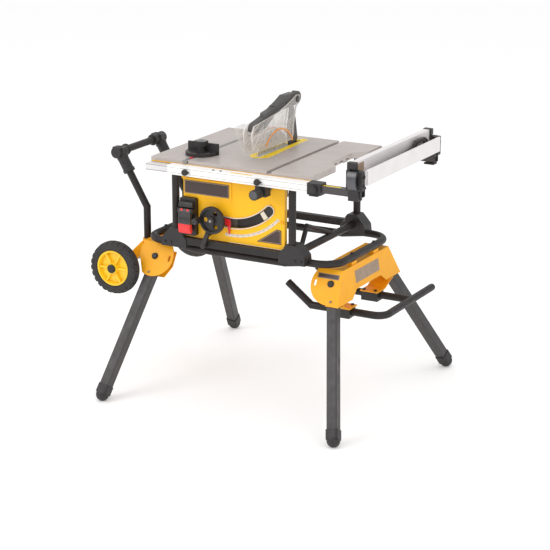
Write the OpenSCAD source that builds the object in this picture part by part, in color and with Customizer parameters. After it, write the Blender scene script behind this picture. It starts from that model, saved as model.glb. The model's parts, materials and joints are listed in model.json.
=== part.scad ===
// Ten-inch jobsite table saw on a folding wheeled stand.
// Millimetres, X to the right, Y to the back, Z up from the floor.

/* [Table] */

// Width of the table, left to right
table_w = 672; // [600:1:720]
// Depth of the table, front to back
table_d = 568; // [540:1:600]
// Height of the table surface above the floor
table_h = 913; // [905:1:920]
// Thickness of the table casting between its ribs
table_t = 12; // [11:0.5:13]
// Depth of the rim round the table
rim_deep = 22; // [18:1:24]
// Width of the mitre slots
slot_wide = 19.2; // [18.9:0.1:20]
// Depth of the mitre slots
slot_deep = 9.5; // [9.2:0.1:10]

/* [Blade] */

// Diameter of the blade
blade_d = 254; // [250:1:255]
// Height of the blade above the table when fully raised
blade_up = 79; // [76:1:80]
// Thickness of the blade plate
blade_t = 1.8; // [1.6:0.1:2.2]
// Number of teeth on the blade
blade_teeth = 24; // [20:2:40]

/* [Stand] */

// Outside diameter of the stand tubes
tube_d = 28; // [26:1:30]
// Outside width of the square legs
leg_w = 40; // [36:1:40]
// Splay of the legs out to the front and back, in degrees
leg_tilt = 31.7; // [30:0.1:33]
// Lean of the left legs to the left, in degrees
lean_left = 7.5; // [6:0.5:9]
// Lean of the right legs to the right, in degrees
lean_right = 15.6; // [14:0.1:17]
// Diameter of the transport wheels
wheel_d = 206; // [196:1:210]
// Width of the transport wheels
wheel_w = 48; // [44:1:50]

/* [Rails and fence] */

// Outside depth of the fixed rails, front to back
rail_y = 38; // [36:1:40]
// Outside height of the fixed rails
rail_z = 33; // [31:1:34]
// Wall of the fixed rails
rail_wall = 3; // [2.5:0.1:3.2]
// Length of the rip fence
fence_len = 610; // [600:1:616]
// Height of the rip fence above the table
fence_up = 78; // [70:1:82]

/* [Hidden] */

$fn = 48;
// middle of the whole outline, so that the saw stands centred on the origin
centre_x = -20.5;
tube_r = tube_d / 2;
table_under = table_h - table_t;
rim_under = table_h - rim_deep;
// blade plane, arbor and bevel axis
blade_x = 8;
arbor_y = 22;
arbor_z = table_h + blade_up - blade_d / 2;
bevel_x = -8;
bevel_r = 221;
hub_a = 17.1;
hub_x = bevel_x - bevel_r * sin(hub_a);
hub_z = table_h - bevel_r * cos(hub_a);
// stand loop
loop_left = -400;
loop_right = 402;
loop_y = 231;
loop_bend = 80;
loop_hi = 578;
loop_lo = 564;
// leg pivots on the outer faces of the brackets
left_px = -366;
left_py = 222;
left_pz = 507;
right_px = 382;
right_py = 216;
right_pz = 505;
leg_in = 2.5 + leg_w / 2;
foot_r = 25;
foot_flat = 1.5;
left_len = (left_pz - leg_in * sin(leg_tilt) - foot_r) / cos(leg_tilt) / cos(lean_left);
right_len = (right_pz - leg_in * sin(leg_tilt) - foot_r) / cos(leg_tilt) / cos(lean_right);
axle_x = -505;
axle_z = 461;
wheel_y = 287;
handle_y = 118;
// roll cage
post_x = 246;
post_y = 260;
cage_bend = 44;
panel_y = -255;
// rails
rail_mid = 309;
rail_low = 866;
shaft_x = 150;
shaft_z = 842;
// fence
fence_x = 498;
// guard
guard_py = 185;
guard_pz = 1080;

// ---- shared shapes ----

// moves the saw so that its outline is centred on the origin
module place() translate([-centre_x, 0, 0]) children();

// a box from its low corner to its high corner
module box(a, b) translate(a) cube(b - a);

// a round bar between two points
module bar(a, b, r) {
  v = b - a;
  translate(a)
    rotate([0, acos(v.z / norm(v)), atan2(v.y, v.x)])
      cylinder(h = norm(v), r = r);
}

// a round tube through a list of points, with ball corners a little fuller than the tube
module run(p, r) {
  for (i = [0 : len(p) - 2]) bar(p[i], p[i + 1], r);
  for (i = [1 : len(p) - 2]) translate(p[i]) rotate([0, 90, 0]) sphere(r + 0.4);
}

// a slice lying in the X-Z plane, from y0 to y1
module slab_y(y0, y1) translate([0, y1, 0]) rotate([90, 0, 0]) linear_extrude(y1 - y0) children();

// a slice lying in the Y-Z plane, from x0 to x1
module slab_x(x0, x1) translate([x0, 0, 0]) rotate([90, 0, 90]) linear_extrude(x1 - x0) children();

// a rounded rectangle about the origin
module soft(w, h, r) {
  square([w - 2 * r, h], center = true);
  square([w, h - 2 * r], center = true);
  for (x = [-1, 1], y = [-1, 1])
    translate([x * (w / 2 - r), y * (h / 2 - r)]) circle(r);
}

// a slot with round ends, standing on end
module stadium(w, h) {
  square([w, h - w], center = true);
  for (y = [-1, 1]) translate([0, y * (h - w) / 2]) circle(w / 2);
}

// the sloping frame of a leg pivot: local X right, Z up the slope, -Y outwards
module leg_frame(px, py, pz, rear)
  mirror([0, rear ? 1 : 0, 0]) translate([px, -py, pz]) rotate([-leg_tilt, 0, 0]) children();

module front_and_rear() {
  children();
  mirror([0, 1, 0]) children();
}

// ---- stand ----

module loop_path(r) {
  front_and_rear() {
    run([[loop_left + loop_bend, -loop_y, loop_hi], [-274, -loop_y, loop_hi],
      [-184, -loop_y, loop_lo], [200, -loop_y, loop_lo], [290, -loop_y, loop_hi],
      [loop_right - loop_bend, -loop_y, loop_hi]], r);
    translate([loop_right - loop_bend, -loop_y + loop_bend, loop_hi]) rotate([0, 0, -90])
      rotate_extrude(angle = 90) translate([loop_bend, 0]) circle(r);
    translate([loop_left + loop_bend, -loop_y + loop_bend, loop_hi]) rotate([0, 0, 180])
      rotate_extrude(angle = 90) translate([loop_bend, 0]) circle(r);
  }
  for (x = [loop_left, loop_right])
    bar([x, -loop_y + loop_bend, loop_hi], [x, loop_y - loop_bend, loop_hi], r);
}

module stand_loop() color("#2b2828") place() loop_path(tube_r);

module plate_holes(side) {
  circle(5.1);
  translate([side * 63, -2]) stadium(10, 24);
}

module left_plate() difference() {
  intersection() {
    union() {
      circle(79);
      translate([-71, 0]) square([71, 56]);
    }
    polygon([[-71, 56], [90, 56], [90, -84], [-31, -84], [-69, 0]]);
  }
  plate_holes(1);
  translate([-8, -65]) circle(4.6);
}

module right_plate() difference() {
  intersection() {
    union() {
      circle(80);
      translate([-66, 0]) square([110, 55]);
      translate([0, -84]) square([60, 84]);
    }
    polygon([[-90, 55], [34, 55], [52, -84], [-90, -84]]);
  }
  plate_holes(-1);
  translate([17, -66]) circle(4.6);
}

module left_bracket() color("#f7a71f") place() {
  front_and_rear() {
    leg_frame(left_px, left_py, left_pz, false) {
      slab_y(-2, 2) left_plate();
      slab_y(46, 50) difference() {
        polygon([[-62, 40], [58, 40], [58, -20], [34, -66], [-30, -66]]);
        circle(5.1);
      }
    }
    difference() {
      union() {
        translate([-452, -140, 512]) cylinder(h = 36, r = 19);
        box([-438, -152, 512], [-432, -128, 548]);
      }
      translate([-452, -140, 511]) cylinder(h = 38, r = tube_r + 0.1);
    }
    // arm that carries the axle
    difference() {
      slab_y(-204, -198) {
        polygon([[-433, 553], [-437, 553], [-522, 470], [-518, 448], [-490, 446], [-433, 510]]);
      }
      bar([axle_x, -210, axle_z], [axle_x, -190, axle_z], 8.1);
    }
  }
  // top, side and the seats for the loop tube
  box([left_px - 70, -193, 550.6], [left_px + 61, 193, 554.6]);
  slab_x(left_px - 70.5, left_px - 67)
    polygon([[-193.8, 552.6], [193.8, 552.6], [221.4, 508], [-221.4, 508]]);
  for (y = [-90, 90]) box([loop_left - 10, y - 20, 554], [loop_left + 10, y + 20, loop_hi - tube_r]);
}

module right_bracket() color("#f8b02c") place() {
  front_and_rear() {
    leg_frame(right_px, right_py, right_pz, false) {
      slab_y(-2, 2) right_plate();
      slab_y(46, 50) difference() {
        polygon([[-58, 38], [36, 38], [46, -66], [-34, -66], [-58, -20]]);
        circle(5.1);
      }
    }
    // shelf that the lift handle hangs from
    slab_x(right_px - 32, right_px + 42)
      polygon([[-211, 422], [-150, 394], [-84, 394], [-84, 398], [-149, 398], [-208, 426]]);
  }
  difference() {
    translate([right_px + 30, 0, right_pz + 46.6]) rotate([0, -8.6, 0]) slab_x(0, 4)
      polygon([[-187, 0], [187, 0], [259, -119], [142, -119], [102, -90], [-102, -90],
        [-142, -119], [-259, -119]]);
    front_and_rear() leg_frame(right_px, right_py, right_pz, false)
      box([-100, -40, -200], [100, -2, 100]);
  }
  box([right_px - 64, -188, right_pz + 42.6], [right_px + 33, 188, right_pz + 46.6]);
  for (y = [-90, 90])
    box([loop_right - 10, y - 20, 551], [loop_right + 10, y + 20, loop_hi - tube_r]);
}

module pivot_bolt(px, py, pz) front_and_rear() leg_frame(px, py, pz, false) {
  bar([0, -7, 0], [0, 57, 0], 5);
  translate([0, -2, 0]) rotate([90, 0, 0]) cylinder(h = 6, r = 9, $fn = 6);
  translate([0, 56, 0]) rotate([90, 0, 0]) cylinder(h = 6, r = 9, $fn = 6);
}

module lock_stud(px, py, pz, at) front_and_rear() leg_frame(px, py, pz, false) {
  bar([at.x, -4.5, at.y], [at.x, 2.2, at.y], 4.5);
  translate([at.x, -4, at.y]) sphere(4.5);
}

module stand_bolts() color("#8d8c8a") place() {
  pivot_bolt(left_px, left_py, left_pz);
  pivot_bolt(right_px, right_py, right_pz);
  lock_stud(left_px, left_py, left_pz, [-8, -65]);
  lock_stud(right_px, right_py, right_pz, [17, -66]);
}

module upright_path(r, low) front_and_rear()
  run([[-452, -140, low], [-452, -140, 672], [-573, -137, 874], [-573, 1, 874]], r);

module upright_bar() color("#262424") place() upright_path(tube_r, 500);

module upright_elbows() color("#1d1c1c") place() front_and_rear() difference() {
  union() {
    bar([-573, -137, 874], [-529, -138.1, 800.5], 21);
    translate([-573, -137, 874]) sphere(23);
    bar([-573, -137, 874], [-573, -92, 874], 20);
    bar([-573, -137, 874], [-573, -166, 874], 21);
  }
  run([[-470, -139.5, 702], [-573, -137, 874], [-573, 1, 874]], tube_r + 0.1);
}

module handle_path(r) {
  front_and_rear() run([[151, -handle_y, 455], [251, -handle_y, 379], [503, -handle_y, 379]], r);
  translate([503, -handle_y + 45, 379]) rotate([0, 0, -90])
    rotate_extrude(angle = 90) translate([45, 0]) circle(r);
  bar([548, -handle_y + 45, 379], [548, 302, 379], r);
  bar([503, handle_y, 379], [540, handle_y, 379], r);
}

module lift_handle() color("#2d2a2a") place() {
  handle_path(tube_r);
  // rounded plugs in the open ends
  translate([548, 302, 379]) rotate([-90, 0, 0]) cylinder(h = 5, r = tube_r - 1);
}

module handle_clamps() color("#1f1e1e") place() for (s = [-1, 1]) difference() {
  union() {
    box([right_px - 30, s * handle_y - 27, 358], [right_px + 38, s * handle_y + 27, 393.9]);
    for (x = [right_px - 20, right_px + 28])
      translate([x, s * (handle_y - 22), 398.05]) cylinder(h = 5, r = 7, $fn = 6);
  }
  handle_path(tube_r + 0.1);
}

module wheel_axle() color("#6f6e6d") place() {
  bar([axle_x, -318, axle_z], [axle_x, 318, axle_z], 8);
  for (s = [-1, 1]) {
    bar([axle_x, s * 313.5, axle_z], [axle_x, s * 319, axle_z], 13);
    bar([axle_x, s * 204.3, axle_z], [axle_x, s * 260.6, axle_z], 12);
  }
}

module tyre(s) {
  r = wheel_d / 2;
  h = wheel_w / 2;
  translate([axle_x, s * wheel_y, axle_z]) rotate([90, 0, 0]) difference() {
    rotate_extrude() {
      polygon([[69, -h + 5], [76, -h], [r - 14, -h], [r - 4, -h + 8], [r, -6],
        [r, 6], [r - 4, h - 8], [r - 14, h], [76, h], [69, h - 5]]);
    }
    for (a = [0 : 15 : 345]) rotate([0, 0, a]) {
      box([r - 4, -2.6, 4], [r + 2, 2.6, h + 1]);
      rotate([0, 0, 7.5]) box([r - 4, -2.6, -h - 1], [r + 2, 2.6, -4]);
    }
  }
}

module wheel_hub(s) {
  translate([axle_x, s * wheel_y, axle_z]) rotate([90, 0, 0]) difference() {
    union() {
      rotate_extrude() polygon([[8.06, -26], [20, -26], [23, -6], [58, -6], [62, -21], [68.7, -21],
        [68.7, 21], [62, 21], [58, 6], [23, 6], [20, 26], [8.06, 26]]);
      for (a = [0 : 60 : 300]) rotate([0, 0, a]) box([19, -3, -18], [64, 3, 18]);
    }
    cylinder(h = 80, r = 8.06, center = true);
  }
}

module front_tyre() color("#262525") place() tyre(-1);
module rear_tyre() color("#262525") place() tyre(1);
module front_wheel_hub() color("#f6c92c") place() wheel_hub(-1);
module rear_wheel_hub() color("#f6c92c") place() wheel_hub(1);

// a leg hanging from its pivot, leaning in the plane of the bracket
module leg_shape(px, py, pz, lean, length, rear) leg_frame(px, py, pz, rear)
  translate([0, leg_in, 0]) rotate([0, lean, 0]) difference() {
    translate([0, 0, -length + 2]) linear_extrude(length + 22) difference() {
      soft(leg_w, leg_w, 5);
      soft(leg_w - 5, leg_w - 5, 3);
    }
    bar([0, -50, 0], [0, 50, 0], 5.06);
  }

// a plastic foot with a flat worn on its rounded sole
module foot_shape(px, py, pz, lean, length, rear) difference() {
  leg_frame(px, py, pz, rear) translate([0, leg_in, 0]) rotate([0, lean, 0]) difference() {
    union() {
      translate([0, 0, -length + 1]) linear_extrude(36) soft(leg_w + 7, leg_w + 7, 9);
      translate([0, 0, -length - foot_flat]) sphere(foot_r);
    }
    translate([0, 0, -length + 1.9]) linear_extrude(40) soft(leg_w + 0.2, leg_w + 0.2, 5);
  }
  box([-700, -700, -40], [700, 700, 0]);
}

module front_left_leg() color("#555150") place()
  leg_shape(left_px, left_py, left_pz, lean_left, left_len, false);
module rear_left_leg() color("#555150") place()
  leg_shape(left_px, left_py, left_pz, lean_left, left_len, true);
module front_right_leg() color("#555150") place()
  leg_shape(right_px, right_py, right_pz, -lean_right, right_len, false);
module rear_right_leg() color("#555150") place()
  leg_shape(right_px, right_py, right_pz, -lean_right, right_len, true);

module front_left_foot() color("#2f2d2d") place()
  foot_shape(left_px, left_py, left_pz, lean_left, left_len, false);
module rear_left_foot() color("#2f2d2d") place()
  foot_shape(left_px, left_py, left_pz, lean_left, left_len, true);
module front_right_foot() color("#2f2d2d") place()
  foot_shape(right_px, right_py, right_pz, -lean_right, right_len, false);
module rear_right_foot() color("#2f2d2d") place()
  foot_shape(right_px, right_py, right_pz, -lean_right, right_len, true);

// ---- saw frame and table ----

module cage_tubes(grow) for (x = [-post_x, post_x]) {
  r = tube_r + grow;
  front_and_rear() {
    bar([x, -post_y, 606 + cage_bend], [x, -post_y, table_under], r);
    translate([x, cage_bend - post_y, 606 + cage_bend]) rotate([-90, 0, 0]) rotate([0, 90, 0])
      rotate_extrude(angle = 90) translate([cage_bend, 0]) circle(r);
  }
  bar([x, cage_bend - post_y, 606], [x, post_y - cage_bend, 606], r);
}

module roll_cage() color("#2a2727") place() {
  cage_tubes(0);
  front_and_rear() box([-post_x + 4, -post_y - 12, 588], [post_x - 4, -post_y + 12, 615]);
  // strut between the right-hand posts
  run([[post_x, -200, 606], [post_x, -150, 690], [post_x, 72, 606]], 9);
}

module gusset() difference() {
  slab_y(-275, -216) polygon([[-304, 574], [-196, 574], [-196, 606], [-226, 646], [-266, 646],
    [-300, 608]]);
  loop_path(tube_r + 0.4);
  cage_tubes(0.15);
  box([-post_x + 4, -post_y - 12.2, 587.8], [0, -post_y + 12.2, 615.2]);
  for (x = [-288, -262]) bar([x, -280, 590], [x, -269, 590], 6);
  box([-218, panel_y - 1.5, 617.2], [0, -215, 700]);
  // room for the corner of the switch box
  box([-218.4, -280, 627.5], [0, panel_y, 700]);
}

module base_gussets() color("#242222") place() {
  front_and_rear() {
    gusset();
    mirror([1, 0, 0]) gusset();
  }
}

// outline of the table, with the notch in its right edge
module table_outline(e) polygon([
  [-table_w / 2 + e, -table_d / 2 + e], [table_w / 2 - e, -table_d / 2 + e],
  [table_w / 2 - e, -98 - 0.4 * e], [292 - e, -44 - 0.4 * e], [292 - e, 121 + 0.4 * e],
  [326 - e, 152 + 0.4 * e], [table_w / 2 - e, 160 + 0.4 * e],
  [table_w / 2 - e, table_d / 2 - e], [-table_w / 2 + e, table_d / 2 - e]]);

// outline of the throat plate, grown by e
module throat_outline(e) {
  translate([17, -85]) circle(41 + e);
  polygon([[-24 - e, -85], [58 + e, -85], [47 + e, 150], [43 + e, 245 + e], [14 - e, 245 + e],
    [14 - e, 226 + e], [-8 - e, 218 + e], [-14 - e, 150]]);
}

module table_top() color("#c9c1bc") place() difference() {
  union() {
    translate([0, 0, rim_under]) linear_extrude(rim_deep) difference() {
      table_outline(0);
      table_outline(8);
    }
    translate([0, 0, table_under]) linear_extrude(table_t) table_outline(0);
    for (x = [-188, 164])
      box([x - 18, -table_d / 2 + 4, table_under - 7], [x + 18, table_d / 2 - 4, table_under + 1]);
    for (y = [-160, 170])
      box([-table_w / 2 + 4, y - 3, rim_under], [-60, y + 3, table_under + 1]);
    box([90, -3, rim_under], [288, 3, table_under + 1]);
  }
  for (x = [-188, 164]) {
    box([x - slot_wide / 2, -300, table_h - slot_deep], [x + slot_wide / 2, 300, table_h + 1]);
    box([x - 12.2, -300, table_h - slot_deep], [x + 12.2, 300, table_h - slot_deep + 3.2]);
  }
  translate([0, 0, table_h - 5.1]) linear_extrude(6) throat_outline(0.4);
  translate([0, 0, rim_under - 1]) linear_extrude(30) throat_outline(-5);
  // cast pocket in the right-hand edge
  box([table_w / 2 - 1, -200, rim_under + 4], [table_w / 2 + 1, -140, table_h - 5]);
}

module throat_plate() color("#f2d52e") place() difference() {
  translate([0, 0, table_h - 5]) linear_extrude(5) throat_outline(0);
  box([5.4, -105, table_h - 8], [24.4, 217, table_h + 1]);
  translate([39, -88, table_h - 6]) cylinder(h = 8, r = 9);
  for (p = [[-13, -60], [-8, 110], [29, 232]]) translate([p.x, p.y, table_h - 1.5]) cylinder(h = 3, r = 4);
}

// ---- front panel and controls ----

// band along the bevel arc, between two radii and two angles from straight down
module arc_band(r0, r1, a0, a1) translate([bevel_x, table_h]) rotate(-90) difference() {
  intersection() {
    circle(r1, $fn = 180);
    polygon([[0, 0], 420 * [cos(a0), sin(a0)], 420 * [cos((a0 + a1) / 2), sin((a0 + a1) / 2)],
      420 * [cos(a1), sin(a1)]]);
  }
  circle(r0, $fn = 180);
}

module bevel_slot(w, a0, a1) {
  arc_band(bevel_r - w, bevel_r + w, a0, a1);
  for (a = [a0, a1])
    translate([bevel_x + bevel_r * sin(a), table_h - bevel_r * cos(a)]) circle(w);
}

module front_panel() color("#f5bf1e") place() difference() {
  union() {
    slab_y(panel_y, panel_y + 4)
      polygon([[-215, 622], [-209, 618], [206, 618], [212, 624], [212, 862], [224, 868],
        [224, 890], [-224, 890], [-224, 840], [-215, 832]]);
    // folded edges
    box([-215, panel_y, 626], [-212, panel_y + 18, 832]);
    box([209, panel_y, 626], [212, panel_y + 18, 860]);
    box([-205, panel_y, 618], [202, panel_y + 18, 621]);
    // raised lip round the bevel slot
    slab_y(panel_y - 3, panel_y + 1) bevel_slot(22, -17.5, 45.5);
    // raised field under the badge
    box([-210, panel_y - 3, 776], [-8, panel_y + 1, 842]);
  }
  slab_y(panel_y - 10, panel_y + 30) bevel_slot(17.5, -17.5, 45.5);
  translate([shaft_x, 0, shaft_z]) rotate([90, 0, 0]) cylinder(h = 600, r = 9, center = true);
  translate([212, panel_y - 1, 662]) box([0, 0, 0], [10, 30, 34]);
  translate([155, 0, 779]) rotate([90, 0, 0]) cylinder(h = 600, r = 3.5, center = true);
  translate([202, 0, 722]) rotate([90, 0, 0]) cylinder(h = 600, r = 4.5, center = true);
}

module bevel_scale() color("#d9d4cd") place()
  slab_y(panel_y - 1.5, panel_y) arc_band(262, 273, -6, 47);

module panel_badges() color("#3a2f2a") place() {
  slab_y(panel_y - 4.6, panel_y - 3) translate([-113, 809]) soft(190, 50, 3);
  slab_y(panel_y - 1.5, panel_y) polygon([[96, 637], [198, 637], [198, 690], [180, 693]]);
}

module switch_box() color("#2c2b2b") place() difference() {
  union() {
    slab_y(-277, panel_y) translate([-185, 699]) soft(66, 142, 6);
    // ears that carry the paddle
    for (x = [-217, -157]) box([x, -298, 716], [x + 4, -277, 734]);
  }
  bar([-230, -290, 726], [-140, -290, 726], 2.6);
  bar([-185, -278, 690], [-185, -262, 690], 9.1);
}

module start_button() color("#2f7d3a") place() bar([-185, -282, 690], [-185, -267, 690], 9);

module stop_paddle() color("#3a3838") place() {
  bar([-217.5, -290, 726], [-152.5, -290, 726], 2.5);
  slab_x(-211, -159) polygon([[-297, 733], [-286, 733], [-284.5, 721], [-290, 700], [-291, 664],
    [-286, 646], [-297, 640], [-303, 652], [-304, 690], [-301, 722]]);
}

module crank_wheel() color("#2a2929") place() difference() {
  union() {
    translate([hub_x, -280, hub_z]) rotate([90, 0, 0]) {
      rotate_extrude() polygon([[0, -1], [15, -1], [15, 5], [40, 5], [42, 0], [49, 0], [52, 4],
        [52, 13], [49, 17], [42, 17], [40, 10], [16, 10], [14, 20], [0, 20]]);
    }
    bar([hub_x, -282, hub_z], [hub_x, -214, hub_z], 6);
    bar([hub_x - 46, -296, hub_z], [hub_x - 46, -345, hub_z], 4);
  }
  for (a = [30, 150, 270]) translate([hub_x, -280, hub_z]) rotate([0, a, 0])
    translate([0, 0, 27.5]) rotate([90, 0, 0]) cylinder(h = 60, r = 9, center = true);
}

module crank_knob() color("#1f1f1f") place() translate([hub_x - 46, -298.5, hub_z])
  rotate([90, 0, 0]) rotate_extrude()
    polygon([[4.06, 0], [9, 0], [12.5, 6], [13.5, 30], [11.5, 41], [7, 44.5], [4.06, 44.5]]);

module bevel_lock_lever() color("#232222") place() difference() {
  union() {
    bar([hub_x, -271.5, hub_z], [hub_x, -264, hub_z], 23);
    translate([hub_x, 0, hub_z]) rotate([0, 22.4, 0]) {
      box([-9, -271.5, -66], [9, -264, -10]);
      box([-8, -290, -68], [8, -264, -56]);
      box([-8, -290, -112], [8, -279, -60]);
      bar([0, -291, -112], [0, -278, -112], 11);
    }
  }
  bar([hub_x, -300, hub_z], [hub_x, -250, hub_z], 16.58);
}

module bevel_pointer() color("#b3232b") place() difference() {
  union() {
    bar([hub_x, -262.8, hub_z], [hub_x, -259.6, hub_z], 21);
    slab_y(-262.8, -259.6) {
      polygon([[hub_x, 712], [-12, 706], [-10, 690], [-15, 650], [-19, 650], [-24, 684],
        [hub_x, 690]]);
    }
  }
  bar([hub_x, -300, hub_z], [hub_x, -250, hub_z], 16.58);
}

// ---- rails and fence ----

module outer_rail() difference() {
  union() {
    box([-240, -rail_mid - rail_y / 2, rail_low], [342, -rail_mid + rail_y / 2, rail_low + rail_z]);
    for (x = [-200, 50, 290]) box([x - 18, -291, 892], [x + 18, -table_d / 2, 898]);
    // locating pins and their washers
    for (x = [-160, 142]) {
      bar([x, -328, 881], [x, -340, 881], 7);
      bar([x, -328, 881], [x, -331, 881], 10);
    }
  }
  box([-250, -rail_mid - rail_y / 2 + rail_wall, rail_low + rail_wall],
    [350, -rail_mid + rail_y / 2 - rail_wall, rail_low + rail_z - rail_wall]);
  for (x = [-49, -18]) translate([x, -rail_mid - 8, rail_low + rail_z - 8]) cylinder(h = 20, r = 3);
  // reading window for the rip scale
  box([24, -rail_mid - 14, rail_low + rail_z - 8], [112, -rail_mid - 4, rail_low + rail_z + 1]);
}

module front_outer_rail() color("#d8d7d6") place() outer_rail();
module rear_outer_rail() color("#d8d7d6") place() mirror([0, 1, 0]) outer_rail();

module rail_end_caps() color("#252323") place() front_and_rear() difference() {
  union() {
    box([342, -rail_mid - 22, 861], [396, -rail_mid + 22, 903]);
    bar([369, -rail_mid - 30, 882], [369, -rail_mid, 882], 14);
    box([352, -rail_mid - 26, 857], [386, -rail_mid + 10, 862]);
  }
  box([340, -rail_mid - rail_y / 2 + rail_wall, rail_low + rail_wall],
    [400, -rail_mid + rail_y / 2 - rail_wall, rail_low + rail_z - rail_wall]);
}

module rail_gear_cases() color("#252323") place() front_and_rear() difference() {
  union() {
    box([shaft_x - 22, -324, 826], [shaft_x + 22, -288, rail_low]);
    bar([shaft_x, -324, shaft_z], [shaft_x, -288, shaft_z], 16);
  }
  bar([shaft_x, -340, shaft_z], [shaft_x, -270, shaft_z], 6.06);
}

module inner_rail() difference() {
  box([-335, -rail_mid - 15, rail_low + 4], [552, -rail_mid + 15, rail_low + rail_z - 4]);
  box([-340, -rail_mid - 12.5, rail_low + 6.5], [560, -rail_mid + 12.5, rail_low + rail_z - 6.5]);
}

module front_inner_rail() color("#7b7979") place() inner_rail();
module rear_inner_rail() color("#7b7979") place() mirror([0, 1, 0]) inner_rail();

module pinion_shaft() color("#8f8e8c") place() bar([shaft_x, -362, shaft_z], [shaft_x, 330, shaft_z], 6);

module adjust_knob() color("#1f1e1e") place() difference() {
  union() {
    bar([shaft_x, -374, shaft_z], [shaft_x, -336, shaft_z], 19);
    bar([shaft_x, -337, shaft_z], [shaft_x, -326, shaft_z], 13);
  }
  bar([shaft_x, -363, shaft_z], [shaft_x, -320, shaft_z], 6.02);
  for (a = [0 : 30 : 330]) translate([shaft_x, -355, shaft_z]) rotate([0, a, 0])
    translate([20.5, 0, 0]) rotate([90, 0, 0]) cylinder(h = 60, r = 3, center = true, $fn = 24);
}

module rip_fence() color("#d9d8d7") place() {
  difference() {
    box([fence_x, -fence_len / 2, table_h + 2], [fence_x + 24, fence_len / 2, table_h + fence_up]);
    box([fence_x + 2.5, -400, table_h + 4.5], [fence_x + 21.5, 400, table_h + 38]);
    box([fence_x + 2.5, -400, table_h + 41], [fence_x + 21.5, 400, table_h + fence_up - 3]);
  }
  // tray for the push stick
  box([fence_x + 23, -250, table_h + 2], [fence_x + 56, 285, table_h + 5]);
}

module fence_head() {
  difference() {
    union() {
      box([fence_x - 3, -331, 896], [fence_x + 60, -305.2, 966]);
      box([fence_x - 2, -326, 960], [fence_x + 30, -305.2, table_h + fence_up + 2]);
      box([fence_x, -332, 895.2], [fence_x + 54, -286, 903]);
      box([fence_x + 6, -332, 862], [fence_x + 46, -326, 900]);
      box([fence_x + 6, -332, 858], [fence_x + 46, -300, 864]);
    }
    // recess behind the latch lever
    box([fence_x + 8, -340, 910], [fence_x + 44, -316, 970]);
    // notch that the narrow fence drops into
    box([fence_x + 50, -312, table_h + 1], [fence_x + 70, -300, 970]);
  }
  // latch pin
  bar([fence_x + 4, -327, 955], [fence_x + 48, -327, 955], 3);
}

module fence_heads() color("#232121") place() front_and_rear() fence_head();

module fence_latch() difference() {
  slab_x(fence_x + 9, fence_x + 43) {
    difference() {
      translate([-304, 935]) circle(48, $fn = 96);
      translate([-301, 935]) circle(42, $fn = 96);
      polygon([[-330, 965], [-400, 965], [-400, 1100], [-200, 1100], [-200, 800], [-333.5, 800],
        [-333.5, 909], [-303, 935]]);
    }
    polygon([[-346, 952], [-327, 948], [-327, 962], [-341, 964]]);
    translate([-327, 955]) circle(7);
  }
  bar([fence_x, -327, 955], [fence_x + 60, -327, 955], 3.06);
}

module front_fence_latch() color("#6d6b6b") place() fence_latch();
module rear_fence_latch() color("#6d6b6b") place() mirror([0, 1, 0]) fence_latch();

module narrow_fence() color("#dcdad9") place() {
  difference() {
    box([fence_x + 62, -fence_len / 2, table_h], [fence_x + 69, fence_len / 2, table_h + 55]);
    for (z = [table_h + 4, table_h + 30])
      box([fence_x + 64.5, -400, z], [fence_x + 66.5, 400, z + 21]);
  }
  for (s = [-1, 1])
    box([fence_x + 50.5, s * 306.5 - 4.5, table_h + 1.05], [fence_x + 63, s * 306.5 + 4.5, table_h + 50]);
}

module push_stick() color("#1c1b1b") place() slab_x(fence_x + 34, fence_x + 44) difference() {
  polygon([[-190, 918.1], [-160, 918.1], [-140, 930], [60, 934], [120, 922], [230, 922], [250, 940],
    [248, 966], [225, 980], [150, 980], [128, 962], [60, 952], [-150, 944], [-190, 936]]);
  translate([188, 952]) soft(74, 30, 12);
}

module mitre_bar() color("#8a8887") place() difference() {
  union() {
    box([-188 - 9.3, -290, table_h - slot_deep + 0.5], [-188 + 9.3, 176, table_h - 0.4]);
    for (y = [-180, 160])
      translate([-188, y, table_h - slot_deep + 0.5]) cylinder(h = 2.4, r = 11.8);
    bar([-188, -168, table_h - 1], [-188, -168, table_h + 40], 4);
  }
}

module mitre_head() color("#1e1d1d") place() difference() {
  union() {
    translate([-188, -168, table_h + 0.4]) intersection() {
      cylinder(h = 12, r = 60, $fn = 96);
      translate([-80, -80, -1]) cube([160, 92, 20]);
    }
    box([-253, -158, table_h + 0.4], [-123, -149, table_h + 42]);
    translate([-188, -168, table_h + 1]) cylinder(h = 20, r = 17);
  }
  bar([-188, -168, table_h - 2], [-188, -168, table_h + 60], 4.06);
  // room for the knob in front of the face
  translate([-188, -168, table_h + 21]) cylinder(h = 30, r = 13.4);
  translate([-188, -168, table_h + 33.6]) cylinder(h = 20, r = 26.4);
}

module mitre_knob() color("#191818") place() difference() {
  union() {
    translate([-188, -168, table_h + 21.3]) cylinder(h = 13, r = 13);
    translate([-188, -168, table_h + 34]) cylinder(h = 17, r = 24);
  }
  bar([-188, -168, table_h + 10], [-188, -168, table_h + 40.2], 4.06);
}

// ---- blade, motor and guard ----

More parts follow.
